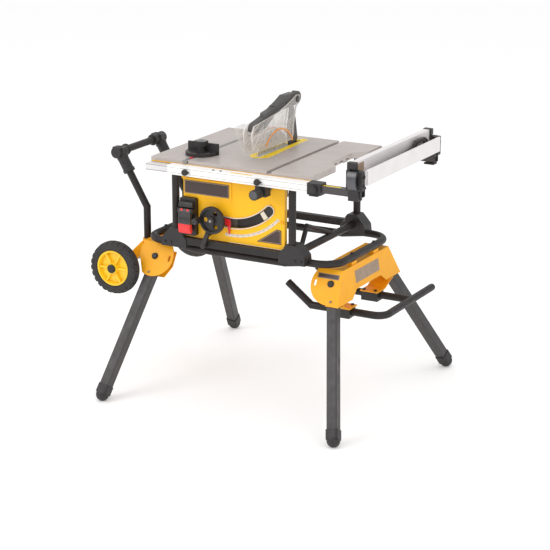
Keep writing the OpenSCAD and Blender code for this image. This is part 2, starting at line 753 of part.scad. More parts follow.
module bevel_carriage() color("#6a6867") place() difference() {
  union() {
    slab_y(-235, -229) arc_band(62, 258, -42, 15);
    slab_y(221, 227) arc_band(62, 258, -42, -9);
    for (p = [[-30, 249], [-15, 247]]) {
      q = [bevel_x + p.y * sin(p.x), table_h - p.y * cos(p.x)];
      bar([q.x, -230, q.y], [q.x, 222, q.y], 7);
    }
    // vertical ways for the motor casting
    for (y = [-208, 205]) {
      bar([-34, y, 686], [-34, y, 892], 8);
      for (z = [686, 880]) box([-45, y > 0 ? 195 : -230, z], [-25, y > 0 ? 222 : -198, z + 10]);
    }
    // crank bearing
    bar([hub_x, -276, hub_z], [hub_x, -215, hub_z], 16.5);
    box([hub_x - 20, -230, hub_z - 20], [hub_x + 20, -200, hub_z + 20]);
  }
  bar([hub_x, -290, hub_z], [hub_x, -212, hub_z], 6.06);
}

module motor_housing() color("#4b4a4a") place() difference() {
  union() {
    bar([-190, 78, 832], [-30, 78, 832], 44);
    bar([-198, 78, 832], [-188, 78, 832], 36);
    bar([-62, arbor_y, arbor_z], [-6, arbor_y, arbor_z], 23);
    box([-34, 0, 806], [-14, 118, 880]);
    for (s = [-1, 1]) {
      yb = s > 0 ? 205 : -208;
      box([-50, min(0, yb), 826], [-18, max(0, yb), 846]);
      bar([-34, yb, 800], [-34, yb, 858], 15);
    }
    // shroud round the lower half of the blade, with the dust outlet at the back
    difference() {
      bar([-5, arbor_y, arbor_z], [22, arbor_y, arbor_z], 140);
      bar([-2, arbor_y, arbor_z], [19, arbor_y, arbor_z], 136);
      box([-50, -200, arbor_z - 14], [60, 300, arbor_z + 200]);
      box([-60, -200, arbor_z - 26], [-1, 300, arbor_z + 200]);
    }
    box([-16, 2, arbor_z - 60], [-2, 44, arbor_z - 20]);
    // clamp that holds the riving knife
    box([-5, 151, arbor_z - 29], [blade_x - 1.15, 188, arbor_z - 15]);
    difference() {
      bar([8.5, 120, 772], [8.5, 258, 772], 31);
      bar([8.5, 100, 772], [8.5, 270, 772], 28);
      bar([-20, arbor_y, arbor_z], [40, arbor_y, arbor_z], 137);
    }
  }
  bar([-80, arbor_y, arbor_z], [60, arbor_y, arbor_z], 8.06);
  for (yb = [-208, 205]) bar([-34, yb, 780], [-34, yb, 880], 8.06);
  // slot in the shroud for the riving knife
  box([blade_x - 1.15, 150, 837.8], [blade_x + 1.15, 195, arbor_z]);
  // way from the shroud into the dust outlet
  box([-1.5, 100, 750], [18.5, 170, 794]);
}

module arbor() color("#9b9a98") place() {
  bar([-58, arbor_y, arbor_z], [20, arbor_y, arbor_z], 8);
  bar([-1.7, arbor_y, arbor_z], [blade_x - blade_t / 2 - 0.05, arbor_y, arbor_z], 22);
  bar([blade_x + blade_t / 2 + 0.05, arbor_y, arbor_z], [11.2, arbor_y, arbor_z], 19);
  translate([11, arbor_y, arbor_z]) rotate([0, 90, 0]) cylinder(h = 8, r = 11, $fn = 6);
}

module saw_blade() color("#c4c3c1") place() translate([blade_x, arbor_y, arbor_z])
  rotate([0, 90, 0]) linear_extrude(blade_t, center = true) difference() {
    circle(blade_d / 2, $fn = 144);
    circle(8.06);
    for (a = [0 : 72 : 288]) rotate(a) translate([70, 0]) stadium(3, 34);
    // gullets between the teeth
    for (a = [0 : 360 / blade_teeth : 359]) rotate(a)
      polygon([[113, -4], [117, -9], [blade_d / 2 + 1, -15], [blade_d / 2 + 1, 0.5], [116, 0]]);
  }

module riving_knife() color("#3b3938") place() slab_x(blade_x - 1.1, blade_x + 1.1) difference() {
  polygon([[120, 838], [190, 838], [206, 880], [211, 915], [198, 947], [180, 984], [176, 1057],
    [152, 1057], [140, 1004], [134, 985], [129, 962], [143, 915], [120, 880]]);
  translate([arbor_y, arbor_z]) circle(blade_d / 2 + 3, $fn = 144);
}

module guard_arm() color("#343232") place() difference() {
  slab_x(blade_x - 13, blade_x + 13) polygon([[-144, 1020], [-136, 1010], [-95, 1000], [-50, 1012],
    [-4, 1037], [19, 1052], [60, 1058], [178, 1058], [204, 1078], [204, 1090], [170, 1107],
    [100, 1108], [60, 1092], [-2, 1072], [-48, 1066], [-54, 1055], [-130, 1040]]);
  bar([blade_x - 20, guard_py, guard_pz], [blade_x + 20, guard_py, guard_pz], 5);
}

// one clear side shield, drawn for the right-hand side
module shield() {
  slab_x(blade_x + 15, blade_x + 18) difference() {
    polygon([[-150, 1036], [-168, 1010], [-160, 960], [-140, 936], [136, 932], [150, 950],
      [154, 990], [174, 1054], [200, 1068], [200, 1094], [176, 1098], [120, 1078], [40, 1058],
      [-60, 1046]]);
    for (y = [-70, 0, 70]) translate([y, 1020]) stadium(5, 30);
  }
  // flared nose
  slab_y(-166, -92) polygon([[blade_x + 15, 938], [blade_x + 32, 962], [blade_x + 56, 1030],
    [blade_x + 53, 1031], [blade_x + 29, 964], [blade_x + 15, 943]]);
}

module right_guard() color("#e9e4e2") place() {
  shield();
  bar([blade_x + 2, guard_py, guard_pz], [blade_x + 18.5, guard_py, guard_pz], 4.94);
}

module left_guard() color("#e9e4e2") place() translate([2 * blade_x, 0, 0]) mirror([1, 0, 0]) {
  shield();
  bar([blade_x + 2, guard_py, guard_pz], [blade_x + 18.5, guard_py, guard_pz], 4.94);
}

stand_loop();
left_bracket();
right_bracket();
stand_bolts();
upright_bar();
upright_elbows();
lift_handle();
handle_clamps();
wheel_axle();
front_tyre();
front_wheel_hub();
rear_tyre();
rear_wheel_hub();
front_left_leg();
rear_left_leg();
front_right_leg();
rear_right_leg();
front_left_foot();
rear_left_foot();
front_right_foot();
rear_right_foot();
roll_cage();
base_gussets();
table_top();
throat_plate();
front_panel();
bevel_scale();
panel_badges();
switch_box();
start_button();
stop_paddle();
front_outer_rail();
rear_outer_rail();
rail_end_caps();
rail_gear_cases();
front_inner_rail();
rear_inner_rail();
pinion_shaft();
adjust_knob();
rip_fence();
fence_heads();
front_fence_latch();
rear_fence_latch();
narrow_fence();
push_stick();
mitre_bar();
mitre_head();
mitre_knob();
bevel_carriage();
motor_housing();
arbor();
saw_blade();
riving_knife();
guard_arm();
left_guard();
right_guard();
crank_wheel();
crank_knob();
bevel_lock_lever();
bevel_pointer();
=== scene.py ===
"""Looks for a jobsite table saw on a folding wheeled stand.

Lengths in this file are millimetres in the saw's own axes, measured from the middle of the table
at floor level: X to the right, Y to the back, Z up. at() turns them into the frame's metres.
"""

import json
import math

import bpy
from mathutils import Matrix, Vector


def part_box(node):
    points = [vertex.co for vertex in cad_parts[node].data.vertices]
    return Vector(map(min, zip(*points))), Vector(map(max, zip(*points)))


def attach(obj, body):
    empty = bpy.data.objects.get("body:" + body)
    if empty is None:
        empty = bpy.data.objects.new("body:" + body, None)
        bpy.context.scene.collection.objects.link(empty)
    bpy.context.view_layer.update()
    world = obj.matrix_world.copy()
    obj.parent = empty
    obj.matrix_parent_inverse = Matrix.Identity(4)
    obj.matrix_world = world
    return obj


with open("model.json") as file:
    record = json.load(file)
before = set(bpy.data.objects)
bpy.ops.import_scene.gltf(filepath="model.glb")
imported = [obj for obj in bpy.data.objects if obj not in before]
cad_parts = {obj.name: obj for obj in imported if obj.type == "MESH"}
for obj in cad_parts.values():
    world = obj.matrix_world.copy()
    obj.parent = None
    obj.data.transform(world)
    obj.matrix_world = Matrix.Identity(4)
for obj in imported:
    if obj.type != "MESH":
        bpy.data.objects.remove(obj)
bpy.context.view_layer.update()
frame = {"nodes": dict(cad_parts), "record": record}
nodes = frame["nodes"]

MM = 0.001
table_lo, table_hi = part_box("table_top")
MIDDLE = (table_lo.x + table_hi.x) / 2
TABLE_H = table_hi.z / MM

# places that several pieces share
BEVEL_X, BEVEL_R = -8.0, 221.0  # the bevel axis, and the radius of its slot in the front panel
CRANK_ANGLE = -17.1  # where the crank stands along the slot
PANEL = -255.0  # front face of the panel
PADDLE_FACE = -304.6
RAIL_FACE = -328.0
RAIL_PINS = (-160, 142)
AXLE_X, AXLE_Z, WHEEL_Y = -505, 461, 287
LEG_TILT = math.radians(31.7)
LEFT_PIVOT, RIGHT_PIVOT = (-366, 222, 507), (382, 216, 505)
GRIP_X, GRIP_Z, ELBOW_Y = -573, 874, 137  # top grip of the upright, and its elbows
FENCE_X = 498  # left face of the rip fence
STUD_X, STUD_Y = -188, -168  # stud that the mitre head turns on
BLADE_X = 8.0
GUARD_Y, GUARD_Z = 185, 1080  # pivot of the shields
MOTOR_Y, MOTOR_Z = 78, 832

SIDES = (("front", False), ("rear", True))


def at(x, y, z):
    """A place in this file's millimetres as one in the frame's metres."""
    return Vector((MIDDLE + x * MM, y * MM, z * MM))


# ---- materials ----


def linear(r, g, b):
    """A display colour from 0 to 255 as scene-linear values."""
    out = []
    for v in (r, g, b):
        v /= 255
        out.append(v / 12.92 if v <= 0.04045 else ((v + 0.055) / 1.055) ** 2.4)
    return (*out, 1.0)


def shade(colour, k):
    """The colour made k times as bright."""
    return tuple(min(1.0, c * k) for c in colour[:3]) + (1.0,)


class Graph:
    """A material's node tree, with short calls to add and join nodes."""

    def __init__(self, name):
        self.material = bpy.data.materials.new(name)
        self.material.use_nodes = True
        self.tree = self.material.node_tree
        self.surface = self.tree.nodes["Principled BSDF"]
        self.coord = self.node("ShaderNodeTexCoord").outputs["Object"]

    def node(self, kind, **values):
        made = self.tree.nodes.new(kind)
        for key, value in values.items():
            setattr(made, key, value)
        return made

    def join(self, source, target):
        self.tree.links.new(source, target)

    def noise(self, scale, detail=3.0, stretch=None, rough=0.5):
        """Noise over the object, in features per metre; stretch is its scale on each axis."""
        made = self.node("ShaderNodeTexNoise")
        made.inputs["Scale"].default_value = scale
        made.inputs["Detail"].default_value = detail
        made.inputs["Roughness"].default_value = rough
        source = self.coord
        if stretch:
            mapping = self.node("ShaderNodeMapping")
            mapping.inputs["Scale"].default_value = stretch
            self.join(source, mapping.inputs["Vector"])
            source = mapping.outputs["Vector"]
        self.join(source, made.inputs["Vector"])
        return made.outputs["Fac"]

    def spread(self, value, low, high, from_low=0.3, from_high=0.7):
        """The value's range from_low to from_high, which suits noise, carried to low to high."""
        made = self.node("ShaderNodeMapRange")
        for key, number in zip(
            ("From Min", "From Max", "To Min", "To Max"), (from_low, from_high, low, high)
        ):
            made.inputs[key].default_value = number
        self.join(value, made.inputs["Value"])
        return made.outputs["Result"]

    def math(self, kind, a, b):
        made = self.node("ShaderNodeMath", operation=kind)
        for socket, value in zip(made.inputs, (a, b)):
            if isinstance(value, (int, float)):
                socket.default_value = value
            else:
                self.join(value, socket)
        return made.outputs[0]

    def mix(self, factor, a, b):
        made = self.node("ShaderNodeMix", data_type="RGBA")
        self.join(factor, made.inputs["Factor"])
        for socket, value in ((made.inputs["A"], a), (made.inputs["B"], b)):
            if isinstance(value, tuple):
                socket.default_value = value
            else:
                self.join(value, socket)
        return made.outputs["Result"]

    def edges(self, radius, gain):
        """How sharply the surface turns here, from a rounded copy of its normal."""
        rounded = self.node("ShaderNodeBevel", samples=6)
        rounded.inputs["Radius"].default_value = radius
        flat = self.node("ShaderNodeNewGeometry")
        dot = self.node("ShaderNodeVectorMath", operation="DOT_PRODUCT")
        self.join(rounded.outputs["Normal"], dot.inputs[0])
        self.join(flat.outputs["Normal"], dot.inputs[1])
        return self.math("MULTIPLY", self.math("SUBTRACT", 1.0, dot.outputs["Value"]), gain)


def finish(
    name, colour, rough, metal=0.0, mottle=0.06, mottle_scale=14.0, grain=900.0, depth=0.00006,
    brush=None, brush_amount=0.12, wear=None, wear_amount=0.6, edge=0.9, coat=0.0, alpha=1.0,
    shine=0.5, second=None, glow=0.0,
):
    """A painted, moulded or metal surface.

    mottle is how far the colour drifts, grain and depth the fine bump, brush the stretch of
    drawn lines, wear the colour under rubbed edges, edge the rounding of edges in millimetres,
    second a rule (axis, place, colour) that changes the colour past a place along an axis, and
    glow the white light that the surface gives off itself.
    """
    g = Graph(name)
    cloud = g.spread(g.noise(mottle_scale, 4.0), 0.0, 1.0)
    tint = g.mix(cloud, shade(colour, 1 - mottle), shade(colour, 1 + mottle))
    if second:
        axis, place, other = second
        split = g.node("ShaderNodeSeparateXYZ")
        g.join(g.coord, split.inputs[0])
        past = g.math("GREATER_THAN", split.outputs[axis], place)
        tint = g.mix(past, tint, g.mix(cloud, shade(other, 1 - mottle), shade(other, 1 + mottle)))
    roughness = g.spread(g.noise(mottle_scale * 3.1, 5.0), rough - 0.07, rough + 0.08)
    bump_height = g.noise(grain, 2.0)
    if brush:
        lines = g.noise(1.0, 3.0, stretch=brush, rough=0.7)
        drawn = g.spread(lines, 0.0, brush_amount * 2.5, 0.35, 0.75)
        tint = g.mix(drawn, tint, shade(colour, 0.72))
        roughness = g.math("ADD", roughness, g.spread(lines, -0.05, 0.10))
        bump_height = g.math("ADD", g.math("MULTIPLY", bump_height, 0.3), lines)
    if wear:
        chips = g.spread(g.noise(60.0, 6.0, rough=0.75), 0.0, 1.0, 0.45, 0.62)
        rubbed = g.math("MULTIPLY", g.edges(edge * MM * 1.4, 9.0), chips)
        tint = g.mix(g.math("MINIMUM", rubbed, wear_amount), tint, wear)
    g.join(tint, g.surface.inputs["Base Color"])
    g.join(roughness, g.surface.inputs["Roughness"])
    rounded = g.node("ShaderNodeBevel", samples=4)
    rounded.inputs["Radius"].default_value = edge * MM
    bump = g.node("ShaderNodeBump")
    bump.inputs["Strength"].default_value = 1.0
    bump.inputs["Distance"].default_value = depth
    g.join(bump_height, bump.inputs["Height"])
    g.join(rounded.outputs["Normal"], bump.inputs["Normal"])
    g.join(bump.outputs["Normal"], g.surface.inputs["Normal"])
    g.surface.inputs["Metallic"].default_value = metal
    g.surface.inputs["Specular IOR Level"].default_value = shine
    g.surface.inputs["Coat Weight"].default_value = coat
    g.surface.inputs["Coat Roughness"].default_value = 0.12
    g.surface.inputs["Alpha"].default_value = alpha
    g.surface.inputs["Emission Color"].default_value = (1.0, 1.0, 1.0, 1.0)
    g.surface.inputs["Emission Strength"].default_value = glow
    return g.material


PRIMER = linear(120, 116, 112)
BARE = linear(170, 168, 165)
LOOKS = {}


def look(name, colour, rough, **more):
    """Adds a surface to LOOKS; its colour is a display colour from 0 to 255."""
    LOOKS[name] = finish(name, linear(*colour), rough, **more)


look(
    "stand_black", (40, 35, 35), 0.46, mottle=0.10, grain=1500, depth=0.00007,
    wear=PRIMER, wear_amount=0.25, shine=0.35)
look(
    "bracket_orange", (255, 176, 22), 0.46, mottle=0.05, grain=1300, depth=0.00006,
    wear=PRIMER, wear_amount=0.15, shine=0.35)
look(
    "leg_grey", (64, 61, 61), 0.45, mottle=0.07, grain=1400, depth=0.00007,
    brush=(40, 40, 3), brush_amount=0.03, wear=BARE, wear_amount=0.3)
look(
    "panel_yellow", (255, 190, 20), 0.44, mottle=0.04, grain=1100, depth=0.00005,
    wear=PRIMER, wear_amount=0.12, shine=0.4)
look(
    "throat_yellow", (255, 216, 12), 0.42, mottle=0.03, grain=1100, depth=0.00005,
    wear=BARE, wear_amount=0.3)
look(
    "table_aluminium", (192, 183, 178), 0.40, metal=0.35, mottle=0.05, mottle_scale=7,
    grain=1800, depth=0.00004, brush=(1500, 9, 1500), brush_amount=0.10,
    wear=linear(225, 223, 220), wear_amount=0.5, edge=1.1)
look(
    "rail_aluminium", (250, 248, 245), 0.36, metal=0.1, mottle=0.03, grain=1500,
    depth=0.00003, brush=(6, 1300, 1300), brush_amount=0.05, wear=linear(245, 245, 245))
look(
    "fence_aluminium", (236, 231, 231), 0.36, metal=0.15, mottle=0.03, grain=1500,
    depth=0.00003, brush=(1300, 6, 1300), brush_amount=0.05, wear=linear(245, 245, 245))
look(
    "inner_rail_black", (222, 220, 220), 0.36, metal=0.25, mottle=0.05, depth=0.00004,
    brush=(6, 1300, 1300), brush_amount=0.05,
    second=(0, MIDDLE - 0.150, linear(62, 57, 58)))
look(
    "black_plastic", (40, 37, 37), 0.48, mottle=0.10, grain=700, depth=0.00016,
    wear=linear(95, 92, 92), wear_amount=0.3)
look(
    "grey_plastic", (74, 74, 78), 0.24, mottle=0.06, grain=500, depth=0.00004,
    wear=linear(150, 150, 152), wear_amount=0.3, coat=0.4)
look(
    "guard_plastic", (66, 64, 63), 0.44, mottle=0.10, grain=650, depth=0.00016,
    wear=linear(120, 118, 116), wear_amount=0.35)
look(
    "clear_shield", (236, 231, 226), 0.16, mottle=0.03, grain=60, depth=0.00008,
    alpha=0.26, coat=0.5)
look(
    "shield_rib", (243, 236, 229), 0.22, mottle=0.04, grain=60, depth=0.00008,
    alpha=0.60, coat=0.4)
look(
    "tyre_rubber", (52, 50, 49), 0.72, mottle=0.16, mottle_scale=30, grain=520,
    depth=0.0003, wear=linear(98, 94, 90), wear_amount=0.5)
look(
    "hub_yellow", (255, 208, 34), 0.38, mottle=0.06, grain=420, depth=0.00008,
    wear=linear(214, 160, 30), wear_amount=0.5, coat=0.25)
look(
    "zinc_steel", (150, 148, 146), 0.40, metal=0.8, mottle=0.10, grain=900,
    depth=0.00004, brush=(700, 14, 700), brush_amount=0.10, wear=linear(225, 224, 220))
look(
    "blade_steel", (196, 195, 193), 0.30, metal=0.95, mottle=0.06, grain=1600,
    depth=0.00003, brush=(1, 900, 900), brush_amount=0.12)
look(
    "knife_steel", (58, 55, 54), 0.40, metal=0.5, mottle=0.12, grain=1200,
    depth=0.00005, wear=linear(170, 168, 165), wear_amount=0.6)
look(
    "motor_grey", (80, 79, 80), 0.58, metal=0.3, mottle=0.12, grain=420, depth=0.00035,
    wear=linear(140, 138, 136), wear_amount=0.4)
look(
    "carriage_grey", (112, 109, 108), 0.46, metal=0.35, mottle=0.10, grain=900,
    depth=0.00008, wear=linear(180, 178, 175), wear_amount=0.5)
look(
    "badge_dark", (66, 50, 45), 0.36, mottle=0.08, grain=900, depth=0.00004,
    wear=linear(150, 130, 110), wear_amount=0.3)
look(
    "badge_pale", (158, 134, 112), 0.42, mottle=0.12, mottle_scale=40, grain=900,
    depth=0.00004)
look(
    "scale_silver", (226, 214, 196), 0.32, metal=0.3, mottle=0.05, grain=1200,
    depth=0.00003, brush=(1200, 1200, 30), brush_amount=0.06)
look("tick_black", (60, 52, 48), 0.5, mottle=0.05, grain=1500)
look(
    "stop_red", (236, 44, 48), 0.30, mottle=0.05, grain=500, depth=0.00006,
    wear=linear(250, 130, 120), wear_amount=0.3, coat=0.3)
look(
    "stop_paddle", (240, 46, 50), 0.34, mottle=0.05, grain=600, depth=0.00008,
    second=(2, 0.676, linear(60, 57, 57)))
look(
    "start_green", (44, 128, 60), 0.30, mottle=0.05, grain=500, depth=0.00006, coat=0.3)
look(
    "guide_orange", (252, 160, 40), 0.34, mottle=0.05, grain=500, depth=0.00005, coat=0.3)

# CAD nodes whose look differs from their record slot's
SPECIAL = {
    "rip_fence": "fence_aluminium",
    "narrow_fence": "fence_aluminium",
    "stop_paddle": "stop_paddle",
    "panel_badges": "badge_dark",
}

slot_of = {part["node"]: part["material_slot"] for part in frame["record"]["subparts"]}
for name, obj in nodes.items():
    obj.data.materials.clear()
    obj.data.materials.append(LOOKS[SPECIAL.get(name, slot_of[name])])

# ---- shapes ----
#
# A shell is a pair of lists, vertices and faces. An outline is a list of pairs, in the two axes
# other than the one that it is pushed along. A facing of 1 or -1 is up or down that axis.


def lifted(outline, axis, level):
    """A flat outline's points in space, at a level along an axis."""
    rest = [a for a in range(3) if a != axis]
    out = []
    for u, v in outline:
        p = [0.0, 0.0, 0.0]
        p[rest[0]], p[rest[1]], p[axis] = u, v, level
        out.append(tuple(p))
    return out


def prism(outline, axis, low, high):
    """An outline pushed along an axis."""
    n = len(outline)
    faces = [tuple(range(n)), tuple(range(2 * n - 1, n - 1, -1))]
    faces += [(i, i + n, (i + 1) % n + n, (i + 1) % n) for i in range(n)]
    return lifted(outline, axis, low) + lifted(outline, axis, high), faces


def band(outer, inner, axis, low, high):
    """The frame between two outlines with the same number of points, pushed along an axis."""
    ring = (*outer, *inner)
    n = len(outer)
    faces = []
    for i in range(n):
        j = (i + 1) % n
        faces += [
            (i, j, j + n, i + n),
            (i + 2 * n, i + 3 * n, j + 3 * n, j + 2 * n),
            (i, i + 2 * n, j + 2 * n, j),
            (i + n, j + n, j + 3 * n, i + 3 * n),
        ]
    return lifted(ring, axis, low) + lifted(ring, axis, high), faces


def block(low, high):
    """A box between two corners."""
    (x0, y0, z0), (x1, y1, z1) = low, high
    return prism([(x0, y0), (x1, y0), (x1, y1), (x0, y1)], 2, z0, z1)


def tube_faces(rings, sides):
    """Faces that join rings of vertices into a closed tube with flat ends."""
    faces = []
    for ring in range(rings - 1):
        for i in range(sides):
            j = (i + 1) % sides
            a, b = ring * sides, (ring + 1) * sides
            faces.append((a + i, a + j, b + j, b + i))
    last = (rings - 1) * sides
    faces.append(tuple(range(sides - 1, -1, -1)))
    faces.append(tuple(range(last, last + sides)))
    return faces


def turned(centre, axis, profile, sides=32):
    """A profile of (radius, height) pairs turned about an axis; the ends are closed."""
    rest = [a for a in range(3) if a != axis]
    verts = []
    for r, h in profile:
        for i in range(sides):
            angle = 2 * math.pi * i / sides
            p = list(centre)
            p[rest[0]] += r * math.cos(angle)
            p[rest[1]] += r * math.sin(angle)
            p[axis] += h
            verts.append(tuple(p))
    return verts, tube_faces(len(profile), sides)


def swept(points, radius, sides=10):
    """A round tube through a list of points, with flat ends."""
    points = [Vector(p) for p in points]
    verts = []
    side = None
    for i, p in enumerate(points):
        ahead = points[min(i + 1, len(points) - 1)] - points[max(i - 1, 0)]
        ahead.normalize()
        if side is None:
            side = ahead.orthogonal().normalized()
        side = (side - ahead * side.dot(ahead)).normalized()
        up = ahead.cross(side)
        for k in range(sides):
            angle = 2 * math.pi * k / sides
            verts.append(tuple(p + (side * math.cos(angle) + up * math.sin(angle)) * radius))
    return verts, tube_faces(len(points), sides)


def together(*shells):
    """Several shells as one."""
    verts, faces = [], []
    for v, f in shells:
        start = len(verts)
        verts += v
        faces += [tuple(i + start for i in face) for face in f]
    return verts, faces


def at_side(shell, rear):
    """A shell drawn for the front of the saw, or its mirror image for the rear."""
    if not rear:
        return shell
    return [(x, -y, z) for x, y, z in shell[0]], [tuple(reversed(f)) for f in shell[1]]


def circle(u, v, radius, step):
    """Points of a circle about a centre, one every step degrees."""
    return [(u + radius * math.cos(math.radians(a)), v + radius * math.sin(math.radians(a)))
            for a in range(0, 360, step)]


def rounded_plate(x, z, w, h, r, steps=5):
    """Outline of a rectangle with round corners, about a centre."""
    out = []
    for cx, cz, start in ((1, 1, 0), (-1, 1, 90), (-1, -1, 180), (1, -1, 270)):
        for i in range(steps + 1):
            a = math.radians(start + 90 * i / steps)
            out.append((x + cx * (w / 2 - r) + r * math.cos(a),
                        z + cz * (h / 2 - r) + r * math.sin(a)))
    return out


def inset(outline, gap):
    """The outline drawn in towards its own middle by about a gap."""
    cu = sum(p[0] for p in outline) / len(outline)
    cv = sum(p[1] for p in outline) / len(outline)
    out = []
    for u, v in outline:
        d = math.hypot(u - cu, v - cv)
        out.append((cu + (u - cu) * (d - gap) / d, cv + (v - cv) * (d - gap) / d))
    return out


def screw_head(centre, axis, radius, height, facing):
    """A domed head with a dished middle, standing on its centre point."""
    k = height * facing
    return turned(centre, axis, [
        (radius, 0), (radius, k * 0.55), (radius * 0.8, k), (radius * 0.45, k),
        (radius * 0.38, k * 0.45)], 20)


def bolt(centre, axis, radius, height, facing):
    """A hexagon head on a washer, standing on its centre point."""
    k = height * facing
    washer = turned(centre, axis, [(radius * 1.35, 0), (radius * 1.35, k * 0.22)], 24)
    u, v = [centre[a] for a in range(3) if a != axis]
    outline = []
    for i in range(6):
        angle = math.radians(60 * i + 15)
        outline.append((u + radius * math.cos(angle), v + radius * math.sin(angle)))
    base = centre[axis]
    return together(washer, prism(outline, axis, base + k * 0.2, base + k))


def piece(name, shell, look_name, body, bevel=0.0, smooth=35.0):
    """Makes one piece of the object, in this file's millimetres, that rides on a CAD body."""
    mesh = bpy.data.meshes.new(name)
    mesh.from_pydata([at(*v) for v in shell[0]], [], shell[1])
    mesh.validate()
    obj = bpy.data.objects.new(name, mesh)
    bpy.context.scene.collection.objects.link(obj)
    bpy.context.view_layer.objects.active = obj
    obj.select_set(True)
    bpy.ops.object.mode_set(mode="EDIT")
    bpy.ops.mesh.select_all(action="SELECT")
    bpy.ops.mesh.normals_make_consistent(inside=False)
    bpy.ops.object.mode_set(mode="OBJECT")
    mesh.shade_smooth()
    mesh.set_sharp_from_angle(angle=math.radians(smooth))
    obj.select_set(False)
    if bevel:
        rounding = obj.modifiers.new("rounding", "BEVEL")
        rounding.width = bevel * MM
        rounding.segments = 2
        rounding.limit_method = "ANGLE"
        rounding.angle_limit = math.radians(40)
        rounding.harden_normals = True
    mesh.materials.append(LOOKS[look_name])
    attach(obj, body)


# ---- front panel ----


def on_arc(radius, angle):
    """A point on an arc about the bevel axis; degrees from straight down to the right."""
    a = math.radians(angle)
    return BEVEL_X + radius * math.sin(a), TABLE_H - radius * math.cos(a)


def along_arc(radius, first, last, steps):
    """Points along an arc about the bevel axis."""
    return [on_arc(radius, first + (last - first) * i / steps) for i in range(steps + 1)]


def slot_outline(w, first=-17.5, last=45.5, steps=36, ends=9):
    """The bevel slot's outline, w to each side of its centre line."""
    out = along_arc(BEVEL_R + w, first, last, steps)
    for middle, start in ((last, 0), (first, 180)):
        if start == 180:
            out += along_arc(BEVEL_R - w, last, first, steps)
        cx, cz = on_arc(BEVEL_R, middle)
        for i in range(1, ends):
            a = math.radians(middle + start + 180 * i / ends)
            out.append((cx + w * math.sin(a), cz - w * math.cos(a)))
    return out


def arc_plate(inner, outer, first, last, low, high, steps=24):
    """A flat band along the bevel arc."""
    outline = along_arc(outer, first, last, steps) + along_arc(inner, last, first, steps)
    return prism(outline, 1, low, high)


# dark plates behind the slot, painted shade that stands in for the shadow inside it: one tilts with
# the carriage, one is fixed
piece("slot_painted_shade", arc_plate(192, 250, 3, 36, -236.8, -234.8), "black_plastic", "bevel",
      bevel=0.4)
# painted shade behind the slot's right end
piece("slot_end_painted_shade", arc_plate(195, 247, 33.5, 51, -251.2, -249.6), "black_plastic", "base",
      bevel=0.4)
piece("slot_end_block", arc_plate(206, 236, 34.5, 39.5, -253.8, -251.0, 6), "scale_silver",
      "base", bevel=0.8)
piece("slot_lip", band(slot_outline(21.6), slot_outline(17.7), 1, PANEL - 4.0, PANEL - 2.6),
      "scale_silver", "base", bevel=0.4)

border = [rounded_plate(-113, 809, 188 - k, 48 - k, 3) for k in (0, 5)]
piece("badge_border", band(*border, 1, PANEL - 5.4, PANEL - 4.4), "badge_pale", "base",
      bevel=0.25)

ticks = []
for angle in range(-5, 47):
    length, half = (8, 0.13) if angle % 5 == 0 else (4, 0.07)
    ticks.append(prism(
        [on_arc(r, angle + side * half)
         for r, side in ((263.5, -1), (263.5 + length, -1), (263.5 + length, 1), (263.5, 1))],
        1, PANEL - 1.8, PANEL - 1.45))
piece("bevel_scale_ticks", together(*ticks), "tick_black", "base")

piece("panel_screws", together(
    screw_head((202, PANEL - 0.2, 722), 1, 7.5, 3.0, -1),
    screw_head((155, PANEL - 0.2, 779), 1, 4.6, 2.0, -1)),
    "bracket_orange", "base")
label_edge = [[(104, 639.5), (195.5, 639.5), (195.5, 687.5), (179, 690)],
              [(112, 641.5), (193.5, 641.5), (193.5, 685.5), (179.5, 687.6)]]
piece("corner_badge_border", band(*label_edge, 1, PANEL - 1.9, PANEL - 1.4), "badge_pale",
      "base")

# switch: hood over the paddle's hinge, the two red ends of its spring, and the paddle's faces
hood = [(-277, 762), (-289, 757), (-296, 744), (-296, 739), (-277, 739)]
piece("switch_hood", prism(hood, 0, -214, -156), "black_plastic", "base",
      bevel=1.5)
piece("paddle_buttons", together(*[
    turned((x, -296.5, 729), 1, [(5.2, 0), (5.2, -2.2), (4.2, -3.4)], 20) for x in (-198, -172)]),
    "stop_red", "stop_paddle")
piece("paddle_face", together(
    block((-208.5, PADDLE_FACE, 652), (-161.5, PADDLE_FACE + 2.0, 672)),
    block((-206, PADDLE_FACE - 1.4, 655), (-164, PADDLE_FACE + 0.2, 669))),
    "stop_red", "stop_paddle", bevel=0.8)
piece("paddle_grip", together(*[
    block((-207, PADDLE_FACE, z), (-163, PADDLE_FACE + 1.6, z + 2.2))
    for z in (684, 689, 694, 699)]),
    "black_plastic", "stop_paddle", bevel=0.4)

# crank: bolt in its middle, rings on its face, caps on its knob and on the rail adjuster
HUB_X, HUB_Z = on_arc(BEVEL_R, CRANK_ANGLE)
piece("crank_bolt", bolt((HUB_X, -299.8, HUB_Z), 1, 6.2, 5.0, -1), "zinc_steel", "crank",
      bevel=0.3)
piece("crank_rim_ring",
      band(*[circle(HUB_X, HUB_Z, r, 8) for r in (49.0, 44.5)], 1, -298.6, -296.6),
      "black_plastic", "crank", bevel=0.5)
piece("crank_hub_ring",
      turned((HUB_X, -299.5, HUB_Z), 1, [(12.5, 0), (12.5, -1.4), (9.5, -2.0)], 28),
      "black_plastic", "crank")
piece("knob_cap",
      turned((HUB_X - 46, -342.6, HUB_Z), 1, [(6.4, 0), (6.0, -1.6), (3.0, -2.4)], 24),
      "grey_plastic", "crank_knob")
piece("adjust_knob_cap",
      turned((150, -373.8, 842), 1, [(15.0, 0), (14.2, -1.6), (9.0, -1.6), (8.4, -0.4)], 32),
      "grey_plastic", "adjuster")

# ---- rails ----

